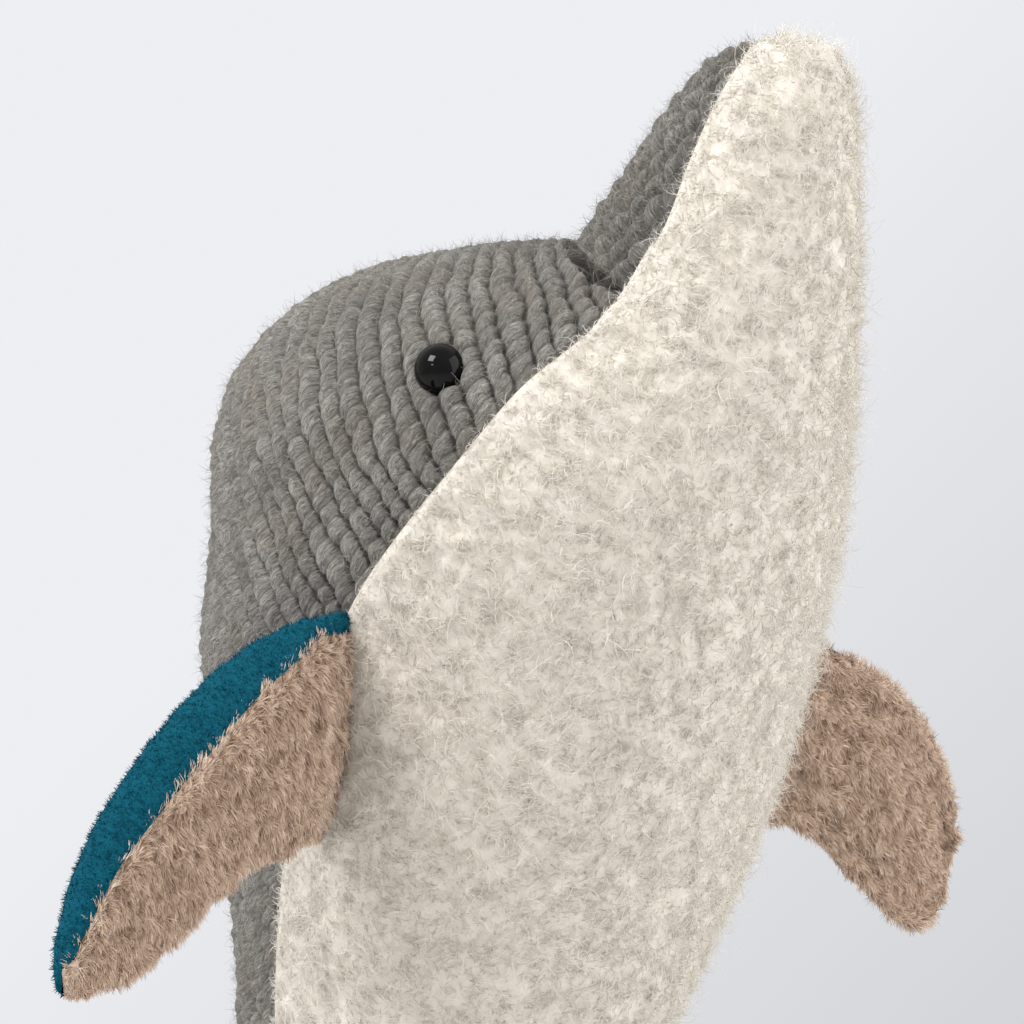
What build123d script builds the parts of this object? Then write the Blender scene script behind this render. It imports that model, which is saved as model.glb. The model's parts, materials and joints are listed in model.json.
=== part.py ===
from build123d import *
import os
from math import cos, sin, radians

# Plush sea animal standing upright on its folded tail flukes.
# Millimetres, +Z up, belly towards -Y, the animal's left towards +X, floor at Z = 0.

# ---- driving dimensions ------------------------------------------------------------
SKIN = 4.0                      # thickness of the knitted and pile body fabrics
FIN_SKIN = 3.0                  # thickness of the fin fabrics
REACH = 900.0                   # size of a cutting block, larger than the whole toy

# Body: (centre Y, centre Z, radius, forward tilt of the section in degrees)
BODY_SECTIONS = [
    (42.0, 37.0, 26.0, 0.0),
    (42.5, 60.0, 28.0, 0.0),
    (43.5, 92.0, 33.5, 1.0),
    (43.0, 130.0, 42.0, 3.0),
    (41.0, 170.0, 51.0, 6.0),
    (35.5, 220.0, 62.0, 9.0),
    (24.5, 277.0, 74.5, 9.0),
    (11.5, 335.0, 90.0, 7.0),
    (2.5, 393.0, 103.0, 1.0),
    (-3.5, 424.0, 107.0, -4.0),
    (-6.7, 448.0, 107.3, -6.0),
]
DOME_HEIGHT = 82.5              # height of the rounded forehead above the last section
DOME_POWER = 2.54               # how full its shoulders are; 2 would be a plain ellipse
DOME_ANGLES = [14, 28, 42, 56, 70, 81]

# Beak and throat: (centre Y, centre Z, radius), all level sections
TIP_DROP = 1.3                  # the inner beak's tip drops this many times the inset
BEAK_SECTIONS = [
    (-24.0, 430.0, 84.0),
    (-36.0, 450.0, 79.5),
    (-51.0, 475.0, 70.5),
    (-64.0, 500.0, 60.5),
    (-74.0, 520.0, 52.5),
    (-81.0, 535.0, 46.5),
    (-87.0, 550.0, 41.0),
    (-93.5, 567.0, 35.0),
    (-98.0, 580.0, 29.5),
    (-101.0, 588.5, 23.5),
    (-104.0, 594.0, 16.5),
    (-105.5, 597.0, 8.0),
]

# Side seam between the grey back and the white belly, seen from the side: (Y, Z)
SEAM = [
    (60.0, 20.0), (62.0, 120.0), (58.0, 220.0), (53.0, 272.0), (41.0, 318.0),
    (20.0, 365.0), (-7.0, 412.0), (-35.5, 445.0), (-61.0, 478.0), (-78.5, 503.0),
    (-85.5, 530.0), (-94.0, 566.0), (-101.0, 590.0), (-106.0, 612.0),
]
BROW_FOOT = (-88.0, 507.0)      # dart between forehead and beak, its lower end (Y, Z)
BROW_TOP = (-22.0, 538.0)       # its upper end on the centre line

# Eyes
EYE_DIAMETER = 16.5
EYE_DOME = 6.5
EYE_SINK = 1.5
EYE_HEIGHT = 468.0
EYE_ANGLE = 15.5                # turned from square sideways towards the belly
EYE_RISE = 10.0                 # and this much upwards
SHANK_DIAMETER = 4.5
SHANK_LENGTH = 16.0
WASHER_DIAMETER = 14.0
WASHER_THICKNESS = 1.6
EYE_CLEARANCE = 0.3

# Flippers: root on the side of the body, then upright stations along X:
# (X, centre Y, centre Z, half chord, half thickness). The left one hangs more curled.
ROOT_TOP = (114.0, -3.0, 410.0)
ROOT_FOOT = (101.5, 5.0, 332.0)
RIGHT_STATIONS = [
    (136.0, -2.0, 365.5, 39.5, 14.0),
    (162.0, -2.0, 357.5, 38.5, 16.5),
    (192.0, -3.0, 342.5, 38.0, 16.5),
    (220.0, -5.0, 327.0, 35.0, 14.5),
    (243.0, -7.0, 314.5, 27.5, 11.5),
    (258.0, -9.0, 304.5, 18.0, 8.0),
    (266.5, -10.0, 298.5, 7.0, 3.5),
]
LEFT_STATIONS = [
    (132.0, -8.0, 372.0, 37.5, 14.0),
    (158.0, -17.0, 367.0, 36.0, 16.5),
    (184.0, -24.0, 353.0, 39.5, 16.5),
    (208.0, -28.0, 339.0, 42.5, 15.0),
    (228.0, -28.0, 331.0, 36.5, 12.0),
    (243.0, -27.0, 329.0, 24.5, 8.5),
    (251.0, -26.0, 328.0, 10.0, 3.5),
]
ROOT_HALF_THICKNESS = 6.0

# Dorsal fin: root line on the back, then (Y, centre Z, half chord, half thickness)
FIN_ROOT_TOP = (102.0, 261.0)
FIN_ROOT_FOOT = (96.5, 168.0)
FIN_STATIONS = [
    (114.0, 209.0, 42.0, 12.0),
    (130.0, 199.0, 35.0, 12.0),
    (146.0, 186.0, 26.0, 10.0),
    (160.0, 171.0, 15.5, 7.0),
    (168.0, 160.0, 5.0, 3.0),
]

# Tail: bending joint and folding joint
TAIL_JOINT = (42.0, 130.0)      # Y, Z of the tail's bending line
TAIL_BALL = 34.0                # radius of the rounded end that turns in the body
TAIL_GROOVE = 9.0               # half opening of the groove round it, in degrees
FLUKE_THICKNESS = 34.0
FLUKE_FILL = FLUKE_THICKNESS - 2 * FIN_SKIN
FLUKE_CHAMFER = 7.0             # slope round the upper rim
FLUKE_OUTLINE = [               # half outline seen from above: (X, Y)
    (27.0, 46.0), (36.0, 18.0), (62.0, -8.0), (98.0, -32.0), (128.0, -60.0),
    (132.0, -80.0), (112.0, -96.0), (72.0, -104.0), (34.0, -99.0), (0.0, -82.0),
]
BAG_RADIUS = 22.0               # weight bag in the tail
BAG_HEIGHT = 52.0
BAG_BOTTOM = 46.0
BAG_ROUNDING = 7.0


def section(centre_y, centre_z, radius, tilt=0.0):
    """A round section wire of the body, leaning forward by tilt."""
    lean = radians(tilt)
    plane = Plane(
        origin=(0, centre_y, centre_z),
        x_dir=(1, 0, 0),
        z_dir=(0, -sin(lean), cos(lean)),
    )
    return Sketch() + plane * Circle(radius)


def dome(inset):
    """The rounded forehead, turned about the leaning axis of the last body section."""
    centre_y, centre_z, radius, tilt = BODY_SECTIONS[-1]
    lean = radians(tilt)
    bend = 2 / DOME_POWER
    points = [(radius - inset, 0)]
    for angle in DOME_ANGLES:
        out = (radius - inset) * cos(radians(angle)) ** bend
        rise = (DOME_HEIGHT - inset) * sin(radians(angle)) ** bend
        points.append((out, rise))
    points.append((0, DOME_HEIGHT - inset))
    curve = Spline(*points, tangents=[(0, 1), (-1, 0)])
    rim = Polyline((0, DOME_HEIGHT - inset), (0, 0), (radius - inset, 0))
    face = make_face(Plane.XZ * (curve + rim))
    place = Plane(origin=(0, centre_y, centre_z), x_dir=(1, 0, 0), z_dir=(0, -sin(lean), cos(lean)))
    return place * revolve(face, Axis.Z)


def body_solid(inset):
    """The body and head as one solid, drawn in by inset."""
    trunk = loft([section(y, z, radius - inset, tilt) for y, z, radius, tilt in BODY_SECTIONS])
    drop = TIP_DROP * inset
    beak = []
    for index, (y, z, radius) in enumerate(BEAK_SECTIONS):
        share = index / (len(BEAK_SECTIONS) - 1)
        beak.append(section(y, z - drop * share, max(radius - inset, 3.0)))
    return trunk + dome(inset) + loft(beak)


def side_block(points, towards):
    """Everything on one side (in Y) of a line drawn in the YZ plane."""
    line = Spline(*[(0, y, z) for y, z in points])
    start = line @ 0
    end = line @ 1
    rim = Polyline(
        (0, end.Y, end.Z),
        (0, towards, end.Z),
        (0, towards, start.Z),
        (0, start.Y, start.Z),
    )
    return extrude(make_face(Wire([line.edge()] + rim.edges())), REACH, dir=(1, 0, 0), both=True)


def block_from_yz(points):
    """A prism across the whole width over a polygon in the YZ plane."""
    outline = Polyline(*[(0, y, z) for y, z in points], close=True)
    return extrude(make_face(outline), REACH, dir=(1, 0, 0), both=True)


def joint_cylinder(joint, radius):
    """A cylinder across the body along a joint line."""
    plane = Plane(origin=(0, joint[0], joint[1]), x_dir=(0, 1, 0), z_dir=(1, 0, 0))
    return extrude(plane * Circle(radius), REACH / 2, both=True)


def wedge(up, angle):
    """The part of space above (or below) the tail joint, beyond a shallow V."""
    y, z = TAIL_JOINT
    rise = REACH * sin(radians(angle))
    far = z + REACH if up else z - REACH
    lip = z + rise if up else z - rise
    return block_from_yz([(y, z), (y + REACH, lip), (y + REACH, far), (y - REACH, far), (y - REACH, lip)])


def upper_part(solid):
    """The head and trunk side of the tail joint."""
    return solid & wedge(True, TAIL_GROOVE) - joint_cylinder(TAIL_JOINT, TAIL_BALL + 0.5)


def lower_part(solid):
    """The tail side of the tail joint."""
    ball = joint_cylinder(TAIL_JOINT, TAIL_BALL)
    return solid & (wedge(False, TAIL_GROOVE) + ball)


def half_space(side):
    """Everything on the animal's left (+1) or right (-1)."""
    return Pos(side * REACH / 2, 0, 0) * Box(REACH, 3 * REACH, 4 * REACH)


def eye_frame(side):
    """Axes of an eye: origin on the skin, z_dir pointing out."""
    turn = radians(EYE_ANGLE)
    rise = radians(EYE_RISE)
    out = (side * cos(turn) * cos(rise), -sin(turn) * cos(rise), sin(rise))
    probe = Axis((0, EYE_CENTRE_Y, EYE_HEIGHT), out)
    hit = max(
        (point for point, _ in OUTER.find_intersection_points(probe)),
        key=lambda point: side * point.X,
    )
    return Plane(origin=hit, z_dir=out)


def eye_dome():
    """A domed safety eye with its shank, in its own axes."""
    rim = EYE_DIAMETER / 2
    sphere = (rim ** 2 + EYE_DOME ** 2) / (2 * EYE_DOME)
    ball = Pos(0, 0, EYE_DOME - EYE_SINK - sphere) * Sphere(sphere)
    cap = ball & Pos(0, 0, rim - EYE_SINK) * Box(EYE_DIAMETER * 2, EYE_DIAMETER * 2, EYE_DIAMETER)
    shank = Pos(0, 0, -EYE_SINK - SHANK_LENGTH / 2) * Cylinder(SHANK_DIAMETER / 2, SHANK_LENGTH)
    return cap + shank


def eye_washer(clearance):
    """The locking washer on the shank, behind the fabric."""
    disc = Cylinder(WASHER_DIAMETER / 2 + clearance, WASHER_THICKNESS + 2 * clearance)
    if clearance == 0:
        disc -= Cylinder(SHANK_DIAMETER / 2, 2 * WASHER_THICKNESS)
    return Pos(0, 0, -SKIN - EYE_SINK - WASHER_THICKNESS) * disc


def eye_room():
    """The space an eye takes out of the fabric and the stuffing."""
    rim = Pos(0, 0, 4) * Cylinder(EYE_DIAMETER / 2 + EYE_CLEARANCE, 2 * (4 + EYE_SINK) + 2 * EYE_CLEARANCE)
    hole_length = SHANK_LENGTH + EYE_SINK + 1
    hole = Pos(0, 0, -hole_length / 2) * Cylinder(SHANK_DIAMETER / 2 + EYE_CLEARANCE, hole_length)
    return rim + hole + eye_washer(EYE_CLEARANCE)


def fin_loft(stations, inset, span):
    """A padded fin lofted through elliptical stations: (centre, chord direction, half chord, half thick)."""
    sketches = []
    for centre, chord, half_chord, half_thick in stations:
        plane = Plane(origin=centre, x_dir=chord, z_dir=span)
        ellipse = Ellipse(max(half_chord - inset, 1.5), max(half_thick - inset, 0.8))
        sketches.append(Sketch() + plane * ellipse)
    return loft(sketches)


def flipper_stations(stations, inset):
    """Centre, chord direction, half chord and half thickness from root to tip, on the left side."""
    top = Vector(*ROOT_TOP)
    foot = Vector(*ROOT_FOOT)
    centre = (top + foot) * 0.5
    chord = (top - foot).normalized()
    half_root = (top - foot).length / 2
    result = [(centre + Vector(inset, 0, 0), chord, half_root, ROOT_HALF_THICKNESS)]
    last = len(stations) - 1
    for index, (x, y, z, half_chord, half_thick) in enumerate(stations):
        drawn_in = inset if index == last else 0
        result.append((Vector(x - drawn_in, y, z), Vector(0, 0, 1), half_chord, half_thick))
    return result


def flipper_front(stations):
    """Everything in front of the flipper's middle surface, where the tan underside lies."""
    root_y = (ROOT_TOP[1] + ROOT_FOOT[1]) / 2
    line = [(ROOT_TOP[0] - 20, root_y)] + [(x, y) for x, y, _, _, _ in stations]
    line.append((stations[-1][0] + 20, stations[-1][1]))
    curve = Spline(*[(x, y, 0) for x, y in line])
    rim = Polyline(
        (line[-1][0], line[-1][1], 0),
        (line[-1][0], -REACH, 0),
        (line[0][0], -REACH, 0),
        (line[0][0], line[0][1], 0),
    )
    face = make_face(Wire([curve.edge()] + rim.edges()))
    return extrude(face, 2 * REACH, dir=(0, 0, 1))


def flipper_parts(side):
    """Top, underside and stuffing of a flipper."""
    stations = LEFT_STATIONS if side == 1 else RIGHT_STATIONS
    outer = fin_loft(flipper_stations(stations, 0), 0, (1, 0, 0))
    inner = fin_loft(flipper_stations(stations, FIN_SKIN), FIN_SKIN, (1, 0, 0))
    shell = outer - inner
    front = flipper_front(stations)
    solids = {"under": shell & front, "top": shell - front, "stuffing": inner}
    if side == 1:
        return solids
    return {part: mirror(solid, about=Plane.YZ) for part, solid in solids.items()}


def dorsal_parts():
    """Left side, right side and stuffing of the dorsal fin."""
    top = Vector(0, *FIN_ROOT_TOP)
    foot = Vector(0, *FIN_ROOT_FOOT)

    def stations(inset):
        centre = (top + foot) * 0.5 + Vector(0, inset, 0)
        chord = (top - foot).normalized()
        result = [(centre, chord, (top - foot).length / 2, ROOT_HALF_THICKNESS)]
        last = len(FIN_STATIONS) - 1
        for index, (y, z, half_chord, half_thick) in enumerate(FIN_STATIONS):
            drawn_in = inset if index == last else 0
            result.append((Vector(0, y - drawn_in, z), Vector(0, 0, 1), half_chord, half_thick))
        return result

    outer = fin_loft(stations(0), 0, (0, 1, 0))
    inner = fin_loft(stations(FIN_SKIN), FIN_SKIN, (0, 1, 0))
    shell = outer - inner
    return {
        "left": shell & half_space(1),
        "right": shell & half_space(-1),
        "stuffing": inner,
    }


def fluke_outline(inset):
    """The flukes' outline on the floor, drawn in by inset towards its middle."""
    half_span = max(x for x, _ in FLUKE_OUTLINE)
    front = min(y for _, y in FLUKE_OUTLINE)
    back = max(y for _, y in FLUKE_OUTLINE)
    middle = (front + back) / 2
    across = 1 - inset / half_span
    along = 1 - inset / ((back - front) / 2)
    points = [(x * across, middle + (y - middle) * along) for x, y in FLUKE_OUTLINE]
    mirrored = [(-x, y) for x, y in reversed(points[:-1])]
    curve = Spline(*(points + mirrored))
    heel = Line(mirrored[-1], points[0])
    return make_face(Wire([curve.edge(), heel.edge()]))


def fluke_parts():
    """Teal face (on the floor), tan face and stuffing of the folded flukes."""
    outer = extrude(fluke_outline(0), FLUKE_THICKNESS)
    outer = chamfer(outer.faces().sort_by(Axis.Z)[-1].edges(), FLUKE_CHAMFER)
    inner = Pos(0, 0, FIN_SKIN) * extrude(fluke_outline(FLUKE_CHAMFER + FIN_SKIN), FLUKE_FILL)
    shell = outer - inner
    lower = Pos(0, 0, FLUKE_THICKNESS / 4) * Box(REACH, REACH, FLUKE_THICKNESS / 2)
    return {"under": shell - lower, "top": shell & lower, "stuffing": inner}


# ---- body -----------------------------------------------------------------------------
OUTER = body_solid(0)
INNER = body_solid(SKIN)
EYE_CENTRE_Y = BODY_SECTIONS[-1][0]
SHELL = OUTER - INNER
BELLY = side_block(SEAM, -REACH)
BROW = block_from_yz([
    BROW_FOOT,
    BROW_TOP,
    (BROW_TOP[0], BROW_TOP[1] + REACH),
    (BROW_FOOT[0] - REACH, BROW_TOP[1] + REACH),
    (BROW_FOOT[0] - REACH, BROW_FOOT[1]),
])

parts = {}
trunk_shell = upper_part(SHELL)
tail_shell = lower_part(SHELL)
trunk_grey = trunk_shell - BELLY
tail_grey = tail_shell - BELLY
parts["belly_panel"] = trunk_shell & BELLY
parts["beak_top_panel"] = trunk_grey & BROW
parts["tail_belly_panel"] = tail_shell & BELLY
back = trunk_grey - BROW
for name, side in (("left", 1), ("right", -1)):
    parts["back_panel_" + name] = back & half_space(side)
    parts["tail_panel_" + name] = tail_grey & half_space(side)

bag = Pos(0, TAIL_JOINT[0], BAG_BOTTOM + BAG_HEIGHT / 2) * Cylinder(BAG_RADIUS, BAG_HEIGHT)
bag = fillet(bag.edges(), BAG_ROUNDING)
parts["body_stuffing"] = upper_part(INNER)
parts["tail_stuffing"] = lower_part(INNER) - bag
parts["weight_bag"] = bag

# ---- eyes -----------------------------------------------------------------------------
for name, side in (("left", 1), ("right", -1)):
    frame = eye_frame(side)
    room = frame * eye_room()
    parts["eye_" + name] = frame * eye_dome()
    parts["eye_washer_" + name] = frame * eye_washer(0)
    for node in ("back_panel_" + name, "body_stuffing"):
        parts[node] = parts[node] - room

# ---- fins -----------------------------------------------------------------------------
for name, side in (("left", 1), ("right", -1)):
    for part, solid in flipper_parts(side).items():
        parts["flipper_" + name + "_" + part] = solid
for part, solid in dorsal_parts().items():
    parts["dorsal_fin_" + part] = solid
for part, solid in fluke_parts().items():
    parts["flukes_" + part] = solid

# ---- files ----------------------------------------------------------------------------
os.makedirs("parts", exist_ok=True)
for name, solid in parts.items():
    export_step(solid, "parts/" + name + ".step")
    print(name, round(solid.volume), [round(value) for value in solid.bounding_box().size])
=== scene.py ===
import json
import math

import bpy
import numpy as np
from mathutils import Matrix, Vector
from mathutils.bvhtree import BVHTree


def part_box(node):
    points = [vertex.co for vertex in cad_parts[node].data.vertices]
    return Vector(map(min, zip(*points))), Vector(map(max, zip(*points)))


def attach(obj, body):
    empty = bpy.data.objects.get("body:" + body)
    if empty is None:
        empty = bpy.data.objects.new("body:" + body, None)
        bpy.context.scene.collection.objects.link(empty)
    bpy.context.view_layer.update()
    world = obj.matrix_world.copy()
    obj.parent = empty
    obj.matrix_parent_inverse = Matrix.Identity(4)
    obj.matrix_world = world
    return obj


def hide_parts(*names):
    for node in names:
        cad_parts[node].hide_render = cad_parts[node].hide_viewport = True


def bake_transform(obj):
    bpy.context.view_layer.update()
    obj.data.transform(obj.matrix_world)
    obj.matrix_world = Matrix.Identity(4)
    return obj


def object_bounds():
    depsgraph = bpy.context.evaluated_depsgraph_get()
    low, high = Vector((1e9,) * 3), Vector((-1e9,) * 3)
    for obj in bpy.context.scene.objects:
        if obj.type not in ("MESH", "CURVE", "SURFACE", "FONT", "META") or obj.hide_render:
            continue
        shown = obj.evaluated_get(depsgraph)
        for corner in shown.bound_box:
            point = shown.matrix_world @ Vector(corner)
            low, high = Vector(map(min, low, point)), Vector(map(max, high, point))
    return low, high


# A plush sea animal: grey knitted back, cream curly belly, teal and tan fins.
# Metres, in the frame's axes: +Z up, belly towards -Y, the animal's left towards +X.

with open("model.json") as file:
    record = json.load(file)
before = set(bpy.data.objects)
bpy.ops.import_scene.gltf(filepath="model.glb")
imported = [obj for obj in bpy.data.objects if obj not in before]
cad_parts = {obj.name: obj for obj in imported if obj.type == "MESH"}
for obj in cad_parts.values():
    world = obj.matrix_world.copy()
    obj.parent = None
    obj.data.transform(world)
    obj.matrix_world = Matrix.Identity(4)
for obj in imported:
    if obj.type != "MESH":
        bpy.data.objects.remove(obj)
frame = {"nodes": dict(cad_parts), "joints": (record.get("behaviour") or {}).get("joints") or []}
CAD_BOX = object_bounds()
JOINTS = {joint["name"]: joint for joint in frame["joints"]}

# ---- view --------------------------------------------------------------------------
VIEW_AZIMUTH = math.radians(-57)
CAMERA_DISTANCE = 2.3
CAMERA_HEIGHT = 0.412
AIM_HEIGHT = 0.441
AIM_LEFT = 0.001  # the camera aims this far to the left of the middle
LENS = 242.6
SENSOR = 36.0

# ---- skins -------------------------------------------------------------------------
REACH = 0.6  # how far outside the toy a probing ray starts
WHITE_NODES = ("belly_panel", "tail_belly_panel")
BACK_NODES = ("back_panel_left", "back_panel_right", "tail_panel_left", "tail_panel_right")
BROW_NODE = "beak_top_panel"
CRACK = 0.012  # radians; rays this far apart don't all slip between two panels
COARSE = 0.006  # spacing of the probed stations
FINE = 0.00106  # spacing of the finished knit mesh
WHITE_FINE = 0.0015
HEAD_LEVEL = 0.448  # above it the knit follows the round of the head
TAIL_GROOVE = 0.038  # the tail joint's groove disturbs the skin this far up and down
TAIL_CUT = 0.001  # the lowest station's height above the tail panel's foot
TAIL_END_RADIUS = 0.0165  # rounded end of the tail, about the flukes' fold line
SEAM_LEVELS = (0.400, 0.420, 0.468, 0.484, 0.504, 0.510)
SEAM_SHIFTS = (0.0013, 0.0018, 0.0020, 0.0054, 0.0052, 0.0004)  # the white laps over the grey by this
SEAM_EDGE = 0.0035  # the skins dip towards the seam over this
EYE_REACH = 0.013  # skin nearer than this to an eye is bridged over
EYE_STAND = 0.005  # how far the eye's dome stands out of the skin
EYE_DENT = 0.0020
EYE_DENT_REACH = 0.0088
EYE_LIP = 0.0030  # wool bulging over the lower front of the eye's rim
EYE_LIP_PLACE = 0.0092  # how far from the eye's middle, and how wide
EYE_LIP_WIDTH = 0.0028
EYE_LIP_SIDE = (0.15, -0.75, -0.62)
BROW_TOP = (-0.031, 0.5305)  # crease between head and beak: (Y, Z) on the centre line
BROW_FOOT = (-0.077, 0.503)  # and where it meets the side seam
BROW_SLOPE = (BROW_TOP[1] - BROW_FOOT[1]) / (BROW_TOP[0] - BROW_FOOT[0])
BROW_FOLD = 0.0030  # depth of the crease
BROW_WIDTH = 0.0030
BROW_PAINTED_SHADE = 0.0014  # painted shade: the wool's colour is darkened this near to the bottom of the crease
BROW_LEAN = 0.22  # how far the crease runs forwards as it goes down the sides
TUCK_REACH = 0.009  # in the crease each grey skin runs on this far under the other
TUCK_DEPTH = 0.0022
TIP_FIBRES = 0.0004  # room left above the beak's tip for its fibres
TIP_CAP = 0.0030
MIRROR = np.array([-1.0, 1.0, 1.0])

# ---- knit --------------------------------------------------------------------------
RIB_PITCH = 0.0074
LOBE_PITCH = 0.0068
RIB_SLOPE = math.radians(38)
RIB_HEIGHT = 0.0021
RIB_TURN = 0.45  # how much the ribs turn level over the head
RIB_TURN_LEVEL = HEAD_LEVEL + 0.01
WAIST = 0.20  # how much narrower a rib is between two lobes
LOBE_HEIGHT = 0.0015
LOBE_SKEW = 0.42
STAGGER = 0.618034  # how far each rib's lobes are shifted from the last rib's
KNIT_TOP = -0.0004  # rib tops above the CAD surface
SEAM_DIP = 0.0028  # how far the grey dips at the seam
FLANGE_WIDTH = 0.0042  # the turned-in edge of the grey under the white
FLANGE_DEPTH = 0.0062
BEAK_RIB_PITCH = 0.0090
BEAK_LOBE_PITCH = 0.0092
BEAK_RIB_HEIGHT = 0.0012
BEAK_LOBE_HEIGHT = 0.0026
BEAK_INSET = 0.0012  # the beak's wool lies this much lower
BEAK_SEAM_DIP = 0.0024
BEAK_FOLD = 1.3 * BROW_FOLD

# ---- pile --------------------------------------------------------------------------
PILE_DEPTH = 0.0026  # the white backing lies this far inside the CAD surface
FELT_DEPTH = 0.0014  # and this far beside the seam, where the pile is short
FELT_WIDTH = 0.00855  # from the seam to where the pile is full
WHITE_DIP = 0.0016  # how far the white dips at the seam
CURLS = 66000
LONG_CURLS = 8000
STRAYS = 900
FELT_HAIRS = 12000
WOOL_HAIRS = 36000
TAN_HAIRS = 24000
FLUKE_HAIRS = 20000
TEAL_HAIRS = 9000
ROOT_SINK = 0.0006  # fibres are rooted this far below their backing
PILE_CLEAR = 0.0045  # no pile grows on fins nearer to the floor than this
CURL_CLIMB = 0.25  # how far a fibre moves along the axis it curls about, for each step round it
STRAND_TAPER = 0.8  # how much thinner a fibre is at its end
STRAND_PIECE = 190000  # most triangles in one piece of strands

# ---- fins --------------------------------------------------------------------------
FIN_COLUMNS = 61  # points round a fin, from its trailing edge over the front and back
FIN_TURNS = np.linspace(-math.pi / 2, 1.5 * math.pi, FIN_COLUMNS)
FIN_FINE = 0.0011
ROOT_HALF_THICK = 0.0062
DORSAL_ROOT_HALF = 0.0465
TAN_DEPTH = 0.0040  # the tan backing lies this far inside the CAD surface
TEAL_DEPTH = 0.0011
CAP_REACH = 0.0008  # the closed tip stands this far past the last ring
NECK_LENGTH = 0.017  # a flipper's skin runs smoothly from the body to its own shape over this
FLIPPER_ROOT_TOP = (-0.003, 0.408)  # Y, Z on the body's skin where a flipper is sewn on
FLIPPER_ROOT_FOOT = (0.019, 0.333)
# Where the teal sheet meets the tan one, in degrees above the front, from root to tip
SEAM_PLACES = (0.0, 0.2, 0.5, 0.85, 1.0)
RIGHT_SEAM = (62.0, 50.0, 41.0, 38.0, 30.0)
LEFT_SEAM = (96.0, 96.0, 98.0, 98.0, 90.0)
TRAIL_PLACES = (0.0, 0.15)  # the same for their seam along the trailing edge
FLUKE_FLOOR_GAP = 0.0006
FLUKE_CREASE = 0.004  # depth of the groove down the middle of the flukes
FLUKE_CREASE_WIDTH = 0.007

UP = np.array([0.0, 0.0, 1.0])
LEVEL = (0.0, 1.0, 0.0)
SIDEWAYS = (1.0, 0.0, 0.0)


def unit(vectors):
    """Vectors scaled to length 1."""
    return vectors / np.maximum(np.linalg.norm(vectors, axis=-1, keepdims=True), 1e-12)


def smooth_step(value, low, high):
    """0 below low, 1 above high, and a smooth rise between."""
    t = np.clip((value - low) / (high - low), 0, 1)
    return t * t * (3 - 2 * t)


def lumps(points, size, seed, waves=28):
    """A smooth random field over points, about -1 to 1, with lumps of the given size."""
    rng = np.random.default_rng(seed)
    directions = unit(rng.normal(size=(waves, 3)))
    numbers = directions * (2 * math.pi / size) * rng.uniform(0.6, 1.4, (waves, 1))
    phases = rng.uniform(0, 2 * math.pi, waves)
    flat = points.reshape(-1, 3)
    total = np.zeros(len(flat))
    for number, phase in zip(numbers, phases):
        total += np.cos(flat @ number + phase)
    return (total / math.sqrt(waves)).reshape(points.shape[:-1])


def joint_point(name):
    """A point on a joint's axis, in metres."""
    return np.array(JOINTS[name]["pos_m"], float)


# ---- probing the frame -------------------------------------------------------------
def points_of(mesh):
    """A mesh's points as an array."""
    places = np.empty(len(mesh.vertices) * 3)
    mesh.vertices.foreach_get("co", places)
    return places.reshape(-1, 3)


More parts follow.
